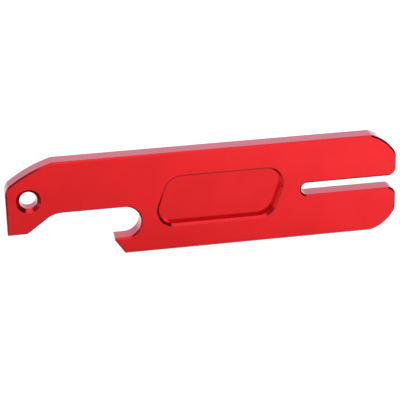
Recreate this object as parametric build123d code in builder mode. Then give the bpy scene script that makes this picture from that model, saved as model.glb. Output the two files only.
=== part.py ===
from build123d import *

import os
from math import radians, tan

# Flat hand tool machined from one aluminium plate: foot and bottle-opener hook at the left,
# recessed panel in the middle, open-ended slot at the right, hanging hole in the left tip.
# Frame: +X along the tool toward the slot end, +Z up across its width, panel face toward -Y,
# origin at the middle of the long lower edge.  All sizes in mm.  Names ending in _x are
# measured from the left end, names ending in _z from the long lower edge.

# plate
length = 130.0
width = 34.0
thickness = 6.2
edge_chamfer = 0.55

# left tip: long swept shoulder rounded into the upright end, foot below
shoulder_x = 15.6            # where the shoulder leaves the long upper edge
shoulder_z = 25.9            # where its sweep would meet the upright end
shoulder_radius = 45.0
tip_radius = 4.2
foot_z = 9.9
foot_x = 6.4
foot_round = 2.8
slant_run = 8.85             # length along X of the slant from the foot up to the arm
slant_round = 8.5

# underside of the arm, cap notch and hook
arm_z = 16.3
notch_x = 38.4               # centre of the round closed end
notch_radius = 5.3
hook_tip_x = 34.95
hook_tip_land = 1.1          # short upright land on the tip of the hook
heel_x = 38.15               # where the hook meets the long lower edge

# swept corners of the right end, the lower one a little fuller than the upper
lower_run = 8.5
lower_rise = 7.2
lower_radius = 12.5
upper_run = 8.6
upper_drop = 7.1
upper_radius = 15.0
corner_blend = 4.0

# open slot
slot_width = 4.15
slot_end_x = 99.65           # centre of the round closed end
mouth_round = 2.6

# hanging hole, countersunk on both faces
hole_x = 7.35
hole_z = 21.4
hole_diameter = 5.8
countersink_diameter = 8.2

# recessed panel, sizes of its upright walls inside the chamfered rim
panel_x = 70.3
panel_width = 39.4           # along X at mid height
panel_height = 16.4
panel_lean = 19.5            # degrees, both ends lean toward +X
sharp_corner_radius = 5.0
wide_corner_radius = 5.8
panel_depth = 2.5
panel_chamfer = 0.8

middle_z = width / 2
notch_z = arm_z - notch_radius
hook_z = notch_z - notch_radius


def at(x, z):
    """Side-view point: x from the left end, z from the long lower edge."""
    return (x - length / 2, z)


def corner(sketch, x, z):
    """The corner of a side-view sketch nearest a given point."""
    place = Vector(*at(x, z))
    return min(sketch.vertices(), key=lambda v: (Vector(v.X, v.Y, v.Z) - place).length)


os.makedirs("parts", exist_ok=True)

with BuildPart() as tool_plate:
    with BuildSketch(Plane.XZ) as outline:
        with BuildLine():
            Line(at(heel_x, 0), at(length - lower_run, 0))
            RadiusArc(at(length - lower_run, 0), at(length, lower_rise), -lower_radius)
            Line(at(length, lower_rise), at(length, width - upper_drop))
            RadiusArc(at(length, width - upper_drop), at(length - upper_run, width), -upper_radius)
            Line(at(length - upper_run, width), at(shoulder_x, width))
            RadiusArc(at(shoulder_x, width), at(0, shoulder_z), -shoulder_radius)
            Polyline(
                at(0, shoulder_z),
                at(0, foot_z),
                at(foot_x, foot_z),
                at(foot_x + slant_run, arm_z),
                at(notch_x, arm_z),
            )
            ThreePointArc(
                at(notch_x, arm_z),
                at(notch_x + notch_radius, notch_z),
                at(notch_x, hook_z),
            )
            Polyline(
                at(notch_x, hook_z),
                at(hook_tip_x, hook_z),
                at(hook_tip_x, hook_z - hook_tip_land),
                at(heel_x, 0),
            )
        make_face()
        fillet(corner(outline, 0, shoulder_z), tip_radius)
        fillet(corner(outline, foot_x, foot_z), foot_round)
        fillet(corner(outline, foot_x + slant_run, arm_z), slant_round)
        fillet(corner(outline, length, lower_rise), corner_blend)
        fillet(corner(outline, length, width - upper_drop), corner_blend)

        # open slot running in from the right end, its mouth rounded
        with Locations(at((slot_end_x + length) / 2, middle_z)):
            Rectangle(length - slot_end_x, slot_width, mode=Mode.SUBTRACT)
        with Locations(at(slot_end_x, middle_z)):
            Circle(slot_width / 2, mode=Mode.SUBTRACT)
        fillet(corner(outline, length, middle_z - slot_width / 2), mouth_round)
        fillet(corner(outline, length, middle_z + slot_width / 2), mouth_round)
    extrude(amount=thickness / 2, both=True)

    # chamfer right round the outline on both broad faces
    broad = tool_plate.faces().sort_by(Axis.Y)
    chamfer(broad[0].edges() + broad[-1].edges(), edge_chamfer)

    # hanging hole with a 90 degree countersink on each face
    hole_centre = at(hole_x, hole_z)[0]
    hole_r = hole_diameter / 2
    sink_r = countersink_diameter / 2
    sink = sink_r - hole_r
    with BuildSketch(Plane.XY.offset(hole_z)):
        with BuildLine():
            Polyline(
                (hole_centre, -thickness / 2),
                (hole_centre + sink_r, -thickness / 2),
                (hole_centre + hole_r, -thickness / 2 + sink),
                (hole_centre + hole_r, thickness / 2 - sink),
                (hole_centre + sink_r, thickness / 2),
                (hole_centre, thickness / 2),
                close=True,
            )
        make_face()
    revolve(axis=Axis((hole_centre, 0, hole_z), (0, 1, 0)), mode=Mode.SUBTRACT)

    # recessed panel, then the chamfer round its rim
    lean_shift = panel_height / 2 * tan(radians(panel_lean))
    low, high = middle_z - panel_height / 2, middle_z + panel_height / 2
    left, right = panel_x - panel_width / 2, panel_x + panel_width / 2
    with BuildSketch(Plane.XZ.offset(thickness / 2)) as panel:
        with BuildLine():
            Polyline(
                at(left - lean_shift, low),
                at(right - lean_shift, low),
                at(right + lean_shift, high),
                at(left + lean_shift, high),
                close=True,
            )
        make_face()
        fillet(corner(panel, left - lean_shift, low), sharp_corner_radius)
        fillet(corner(panel, right + lean_shift, high), sharp_corner_radius)
        fillet(corner(panel, right - lean_shift, low), wide_corner_radius)
        fillet(corner(panel, left + lean_shift, high), wide_corner_radius)
    extrude(amount=-panel_depth, mode=Mode.SUBTRACT)
    rim = tool_plate.edges(Select.LAST).group_by(Axis.Y)[0]
    chamfer(rim, panel_chamfer)

tool_plate.part.label = "tool_plate"
export_step(tool_plate.part, "parts/tool_plate.step")
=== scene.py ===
import math

import bpy
from mathutils import Matrix, Vector


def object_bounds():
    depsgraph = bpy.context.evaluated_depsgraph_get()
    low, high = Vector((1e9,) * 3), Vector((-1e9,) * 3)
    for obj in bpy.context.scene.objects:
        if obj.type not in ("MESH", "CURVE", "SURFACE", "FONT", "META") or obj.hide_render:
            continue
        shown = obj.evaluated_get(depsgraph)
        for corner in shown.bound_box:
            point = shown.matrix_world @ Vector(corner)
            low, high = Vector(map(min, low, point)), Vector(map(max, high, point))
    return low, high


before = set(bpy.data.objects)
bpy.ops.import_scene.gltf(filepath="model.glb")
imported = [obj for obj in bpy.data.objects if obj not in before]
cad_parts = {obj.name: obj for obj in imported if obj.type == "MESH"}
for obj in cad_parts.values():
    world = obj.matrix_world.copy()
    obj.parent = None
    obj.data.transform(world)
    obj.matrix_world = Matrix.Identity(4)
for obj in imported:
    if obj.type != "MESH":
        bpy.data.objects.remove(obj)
cad_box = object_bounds()

# Metres and degrees, the lens in millimetres.  A name ending in _FADE is the pair of values of a
# position, direction or noise between which a smooth step runs.
WHITE = (1.0, 1.0, 1.0, 1.0)

# Camera: a long lens from the front left, a little above, with a slight roll.
CAMERA_AZIMUTH = -10.09
CAMERA_ELEVATION = 22.34
CAMERA_ROLL = -1.33
CAMERA_DISTANCE = 0.5455
CAMERA_LENS = 148.7
AIM_OFFSET = Vector((-0.0011, 0.0, -0.0017))

# Floor: mostly its own even glow, cooler and brighter toward the front right.
FLOOR_SIZE = 6.0
FLOOR_ALBEDO = 0.3
FLOOR_SEEN = 0.82                # even glow where the camera looks straight at the floor
FLOOR_GLOW = 0.66
FLOOR_GLOW_RISE = 0.38
FLOOR_COOL = (1.0, 1.3, 1.36, 1.0)
FLOOR_SLANT = 0.4                # how much of "front right" is toward the front
GLOW_FADE = (-0.06, 0.12)
COOL_FADE = (0.0, 0.12)

# Painted shade on the floor that only reflections see: there the floor is bright inside a fan that
# opens to front and back, and dark outside it and in a narrow line along the foot of the back face,
# a painted contact shadow.
FAN_HALF = 0.085
FAN_BLUR = 0.025
FAN_OPENING = 0.6
OUTSIDE_FAN = 0.18
# Painted contact shadow on the floor, seen only in reflections.
CONTACT_Y = 0.004
CONTACT_FADE = (0.003, 0.01)
CONTACT_SHADOW_LEVEL = 0.05

# Studio surround: a strip of light from the back, over the top, to the front; dark at both
# sides apart from a low window at the left.
STRIP_EDGE = 0.36
STRIP_BLUR = 0.08
BACK_SPREAD = 0.55
BACK_FADE = (0.2, 0.8)
BACK_LEVEL = 0.92
BACK_LEFT_LEVEL = 0.66
BACK_LEFT_FADE = (-0.5, -0.15)
BACK_TINT = (0.92, 1.07, 1.34, 1.0)
TOP_LEVEL = 1.75
TOP_FADE = (0.7, 0.88)
TOP_TINT = (1.0, 1.12, 1.16, 1.0)
TOP_TINT_FADE = (0.6, 0.85)
FRONT_SPREAD = 0.5
FRONT_FADE = (-0.8, -0.4)
FRONT_HEIGHT_FADE = (0.45, 0.6)
LEFT_LEVEL = 0.5
RIGHT_LEVEL = 0.14
SIDE_FADE = (-0.2, 0.2)
WINDOW_LEVEL = 1.25
WINDOW_FADE = (-0.8, -0.6)
WINDOW_HEIGHT_FADE = (0.2, 0.4)

# Low soft light in front, to the right.
FRONT_LIGHT_PLACE = (0.34, -0.62, 0.05)
FRONT_LIGHT_AIM = (0.04, 0.0, 0.02)
FRONT_LIGHT_WIDTH = 0.4
FRONT_LIGHT_HEIGHT = 0.08
FRONT_LIGHT_RADIANCE = 7.0

# Red anodised aluminium: dye colours.
DYE = (0.69, 0.003, 0.006, 1.0)
DYE_DEEP = (0.64, 0.002, 0.0045, 1.0)
DYE_CUT = (0.5, 0.008, 0.013, 1.0)
DYE_RUBBED = (0.62, 0.015, 0.02, 1.0)
DYE_FADE = (0.3, 0.7)
RUB_FADE = (0.56, 0.74)
RUB_MOST = 0.5

# Which surface is which, by how squarely it faces front or back and how far it lies below
# the broad face.
BROAD_FADE = (0.85, 0.95)
WALL_FADE = (0.15, 0.3)
SUNK_MOST = 0.0009
SUNK_LEAST = 0.0005

# Texture scales, per metre, and the stretch of the cutter marks.
GRAIN_SCALE = 5200.0
PATCH_SCALE = 70.0
RUB_SCALE = 900.0
STREAK_SCALE = 3400.0
STREAK_STRETCH = (1.0, 0.03, 1.0)
PASS_SCALE = 2400.0
PASS_STRETCH = (0.05, 1.0, 1.0)

# Surface: roughness with its spread, relief, and the clear sealed layer.
BLAST_ROUGHNESS = 0.3
PATCH_SPREAD = 0.08
GRAIN_SPREAD = 0.06
CUT_ROUGHNESS = 0.2
STREAK_SPREAD = 0.08
GRAIN_BUMP = 0.12
MILLED_BUMP = 0.15
BUMP_HEIGHT = 0.00001
COAT_IOR = 1.3
COAT_ROUGHNESS = 0.12
COAT_ON_CUT = 0.5


def make_camera(centre):
    """Long-lens camera that looks at the part's centre, give or take the aim offset."""
    azimuth = math.radians(CAMERA_AZIMUTH)
    elevation = math.radians(CAMERA_ELEVATION)
    back = Vector((
        math.sin(azimuth) * math.cos(elevation),
        -math.cos(azimuth) * math.cos(elevation),
        math.sin(elevation),
    ))
    data = bpy.data.cameras.new("camera")
    data.lens = CAMERA_LENS
    data.sensor_width = 36.0
    data.clip_start = 0.01
    camera = bpy.data.objects.new("camera", data)
    bpy.context.collection.objects.link(camera)
    roll = Matrix.Rotation(math.radians(CAMERA_ROLL), 3, "Z")
    turn = (-back).to_track_quat("-Z", "Y").to_matrix() @ roll
    place = Matrix.Translation(centre + AIM_OFFSET + back * CAMERA_DISTANCE)
    camera.matrix_world = place @ turn.to_4x4()
    bpy.context.scene.camera = camera


class Graph:
    """Small helper for wiring shader nodes."""

    def __init__(self, tree):
        self.nodes = tree.nodes
        self.links = tree.links

    def add(self, kind, **settings):
        node = self.nodes.new(kind)
        for name, value in settings.items():
            setattr(node, name, value)
        return node

    def put(self, socket, value):
        """Link an output to a socket, or set the socket to a plain value."""
        if isinstance(value, bpy.types.NodeSocket):
            self.links.new(value, socket)
        else:
            socket.default_value = value

    def math(self, operation, a, b=0.0):
        node = self.add("ShaderNodeMath", operation=operation)
        self.put(node.inputs[0], a)
        self.put(node.inputs[1], b)
        return node.outputs[0]

    def ramp(self, value, start, end, low=0.0, high=1.0):
        """Smooth step from low to high as value goes from start to end, start below end."""
        node = self.add("ShaderNodeMapRange", interpolation_type="SMOOTHSTEP")
        self.put(node.inputs["Value"], value)
        node.inputs["From Min"].default_value = start
        node.inputs["From Max"].default_value = end
        self.put(node.inputs["To Min"], low)
        self.put(node.inputs["To Max"], high)
        return node.outputs["Result"]

    def vary(self, base, noise, spread):
        """A base value moved up and down by a noise around one half."""
        offset = self.math("MULTIPLY", self.math("SUBTRACT", noise, 0.5), spread)
        return self.math("ADD", base, offset)

    def split(self, vector):
        node = self.add("ShaderNodeSeparateXYZ")
        self.put(node.inputs[0], vector)
        return node.outputs[0], node.outputs[1], node.outputs[2]

    def scaled(self, vector, factors):
        node = self.add("ShaderNodeVectorMath", operation="MULTIPLY")
        self.put(node.inputs[0], vector)
        self.put(node.inputs[1], factors)
        return node.outputs[0]

    def noise(self, vector, scale, detail):
        node = self.add("ShaderNodeTexNoise")
        self.put(node.inputs["Vector"], vector)
        node.inputs["Scale"].default_value = scale
        node.inputs["Detail"].default_value = detail
        return node.outputs["Fac"]

    def blend(self, factor, a, b):
        """Colour a where factor is 0, colour b where it is 1."""
        node = self.add("ShaderNodeMix", data_type="RGBA")
        self.put(node.inputs["Factor"], factor)
        self.put(node.inputs[6], a)
        self.put(node.inputs[7], b)
        return node.outputs[2]

    def bump(self, height, strength, normal=None):
        node = self.add("ShaderNodeBump")
        node.inputs["Strength"].default_value = strength
        node.inputs["Distance"].default_value = BUMP_HEIGHT
        self.put(node.inputs["Height"], height)
        if normal is not None:
            self.put(node.inputs["Normal"], normal)
        return node.outputs[0]


def make_floor(level):
    """A wide, pale, plain floor that also lights the part from below."""
    bpy.ops.mesh.primitive_plane_add(size=FLOOR_SIZE, location=(0, 0, level))
    floor = bpy.context.object
    floor.name = "floor"
    material = bpy.data.materials.new("floor")
    material.use_nodes = True
    graph = Graph(material.node_tree)
    shader = graph.nodes["Principled BSDF"]
    shader.inputs["Base Color"].default_value = (FLOOR_ALBEDO, FLOOR_ALBEDO, FLOOR_ALBEDO, 1)
    shader.inputs["Roughness"].default_value = 1.0
    shader.inputs["Specular IOR Level"].default_value = 0.0

    x, y, _ = graph.split(graph.add("ShaderNodeTexCoord").outputs["Object"])
    front_right = graph.math("SUBTRACT", x, graph.math("MULTIPLY", y, FLOOR_SLANT))
    glow = graph.ramp(front_right, *GLOW_FADE, FLOOR_GLOW, FLOOR_GLOW + FLOOR_GLOW_RISE)
    # Painted shade: outside the fan the floor glows dimmer, seen only in reflections.
    opening = graph.math("MULTIPLY", graph.math("ABSOLUTE", y), FAN_OPENING)
    across = graph.math("SUBTRACT", graph.math("ABSOLUTE", x), opening)
    fan = graph.ramp(across, FAN_HALF, FAN_HALF + FAN_BLUR, 1.0, OUTSIDE_FAN)
    # Painted contact shadow: a narrow dark line along the foot of the back face, seen only in
    # reflections.
    from_contact = graph.math("ABSOLUTE", graph.math("SUBTRACT", y, CONTACT_Y))
    painted_contact_shadow = graph.ramp(from_contact, *CONTACT_FADE, CONTACT_SHADOW_LEVEL, 1.0)
    reflected = graph.math("MULTIPLY", glow, graph.math("MULTIPLY", fan, painted_contact_shadow))
    # The camera sees the even glow; all other rays see the painted shade and the painted contact
    # shadow.
    direct = graph.add("ShaderNodeLightPath").outputs["Is Camera Ray"]
    strength = graph.ramp(direct, 0.0, 1.0, reflected, FLOOR_SEEN)
    graph.put(shader.inputs["Emission Strength"], strength)
    cool = graph.ramp(front_right, *COOL_FADE)
    graph.put(shader.inputs["Emission Color"], graph.blend(cool, WHITE, FLOOR_COOL))
    floor.data.materials.append(material)


def make_world():
    """Soft studio surround, white where the camera looks straight at it."""
    world = bpy.data.worlds.new("studio")
    world.use_nodes = True
    graph = Graph(world.node_tree)
    surround = graph.nodes["Background"]
    x, y, z = graph.split(graph.add("ShaderNodeTexCoord").outputs["Generated"])

    # The strip, wider at the back and low in front.
    behind = graph.ramp(y, *BACK_FADE)
    forward = graph.ramp(y, *FRONT_FADE, 1.0, 0.0)
    before = graph.math("MULTIPLY", forward, graph.ramp(z, *FRONT_HEIGHT_FADE, 1.0, 0.0))
    back_spread = graph.math("MULTIPLY", behind, BACK_SPREAD)
    front_spread = graph.math("MULTIPLY", before, FRONT_SPREAD)
    spread = graph.math("ADD", back_spread, front_spread)
    reach = graph.math("SUBTRACT", graph.math("ABSOLUTE", x), spread)
    strip = graph.ramp(reach, STRIP_EDGE, STRIP_EDGE + STRIP_BLUR, 1.0, 0.0)

    # How bright the strip, the dark sides and the window are.
    back_level = graph.ramp(x, *BACK_LEFT_FADE, BACK_LEFT_LEVEL, BACK_LEVEL)
    strip_level = graph.ramp(z, *TOP_FADE, back_level, TOP_LEVEL)
    beside = graph.ramp(x, *SIDE_FADE, LEFT_LEVEL, RIGHT_LEVEL)
    lit = graph.ramp(strip, 0.0, 1.0, beside, strip_level)
    leftward = graph.ramp(x, *WINDOW_FADE, 1.0, 0.0)
    window = graph.math("MULTIPLY", leftward, graph.ramp(z, *WINDOW_HEIGHT_FADE, 1.0, 0.0))
    lit = graph.math("MAXIMUM", lit, graph.math("MULTIPLY", window, WINDOW_LEVEL))

    tint = graph.blend(behind, WHITE, BACK_TINT)
    tint = graph.blend(graph.ramp(z, *TOP_TINT_FADE), tint, TOP_TINT)
    graph.put(surround.inputs["Color"], tint)
    graph.put(surround.inputs["Strength"], lit)

    white = graph.add("ShaderNodeBackground")
    white.inputs["Color"].default_value = WHITE
    seen = graph.add("ShaderNodeMixShader")
    graph.put(seen.inputs[0], graph.add("ShaderNodeLightPath").outputs["Is Camera Ray"])
    graph.put(seen.inputs[1], surround.outputs[0])
    graph.put(seen.inputs[2], white.outputs[0])
    graph.put(graph.nodes["World Output"].inputs["Surface"], seen.outputs[0])
    bpy.context.scene.world = world


def make_front_light():
    """Low rectangular light in front, hidden from the camera."""
    data = bpy.data.lights.new("front_right", "AREA")
    data.shape = "RECTANGLE"
    data.size = FRONT_LIGHT_WIDTH
    data.size_y = FRONT_LIGHT_HEIGHT
    data.energy = FRONT_LIGHT_RADIANCE * math.pi * FRONT_LIGHT_WIDTH * FRONT_LIGHT_HEIGHT
    light = bpy.data.objects.new("front_right", data)
    bpy.context.collection.objects.link(light)
    light.location = FRONT_LIGHT_PLACE
    aim = Vector(FRONT_LIGHT_AIM) - Vector(FRONT_LIGHT_PLACE)
    light.rotation_euler = aim.to_track_quat("-Z", "Y").to_euler()
    light.visible_camera = False


def anodised(face_y):
    """Red anodised aluminium: blasted broad faces, smoother cut edges, milled walls and panel floor.

    face_y is the distance of the broad faces from the middle plane of the plate.
    """
    material = bpy.data.materials.new("red_anodised")
    material.use_nodes = True
    graph = Graph(material.node_tree)
    shader = graph.nodes["Principled BSDF"]
    where = graph.add("ShaderNodeTexCoord")
    place = where.outputs["Object"]
    facing = graph.math("ABSOLUTE", graph.split(where.outputs["Normal"])[1])
    from_middle = graph.math("ABSOLUTE", graph.split(place)[1])

    # Where the surface was cut last: edges at 45 degrees, side walls, and the sunken panel floor.
    broad = graph.ramp(facing, *BROAD_FADE)
    wall = graph.ramp(facing, *WALL_FADE, 1.0, 0.0)
    cut_edge = graph.math("SUBTRACT", graph.math("SUBTRACT", 1.0, broad), wall)
    sunk = graph.ramp(from_middle, face_y - SUNK_MOST, face_y - SUNK_LEAST, 1.0, 0.0)
    panel_floor = graph.math("MULTIPLY", broad, sunk)

    grain = graph.noise(place, GRAIN_SCALE, 3.0)
    patches = graph.noise(place, PATCH_SCALE, 3.0)
    streaks = graph.noise(graph.scaled(place, STREAK_STRETCH), STREAK_SCALE, 2.0)
    passes = graph.noise(graph.scaled(place, PASS_STRETCH), PASS_SCALE, 1.0)

    # Dye: slow change in depth of colour, a trace lighter where handling has polished the cut edges.
    dye = graph.blend(graph.ramp(patches, *DYE_FADE), DYE_DEEP, DYE)
    rub = graph.ramp(graph.noise(place, RUB_SCALE, 4.0), *RUB_FADE, 0.0, RUB_MOST)
    edge_dye = graph.blend(rub, DYE_CUT, DYE_RUBBED)
    graph.put(shader.inputs["Base Color"], graph.blend(cut_edge, dye, edge_dye))

    # Roughness: uneven on the blasted faces, streaked on walls and edges, even on the panel floor.
    blasted = graph.vary(BLAST_ROUGHNESS, patches, PATCH_SPREAD)
    blasted = graph.vary(blasted, grain, GRAIN_SPREAD)
    blasted = graph.ramp(panel_floor, 0.0, 1.0, blasted, CUT_ROUGHNESS)
    cut = graph.vary(CUT_ROUGHNESS, streaks, STREAK_SPREAD)
    graph.put(shader.inputs["Roughness"], graph.ramp(broad, 0.0, 1.0, cut, blasted))

    # Relief: fine grain everywhere, cutter marks on the side walls and the panel floor.
    wall_marks = graph.math("MULTIPLY", wall, streaks)
    floor_marks = graph.math("MULTIPLY", panel_floor, passes)
    normal = graph.bump(grain, GRAIN_BUMP)
    normal = graph.bump(graph.math("ADD", wall_marks, floor_marks), MILLED_BUMP, normal)
    graph.put(shader.inputs["Normal"], normal)

    shader.inputs["Metallic"].default_value = 1.0
    graph.put(shader.inputs["Coat Weight"], graph.ramp(cut_edge, 0.0, 1.0, 1.0, COAT_ON_CUT))
    shader.inputs["Coat IOR"].default_value = COAT_IOR
    shader.inputs["Coat Roughness"].default_value = COAT_ROUGHNESS
    return material


lo, hi = cad_box
make_camera((lo + hi) / 2)
make_floor(lo.z)
make_world()
make_front_light()

finish = anodised(hi.y)
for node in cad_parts.values():
    for slot in node.material_slots:
        slot.material = finish

bpy.context.scene.view_settings.view_transform = "Standard"
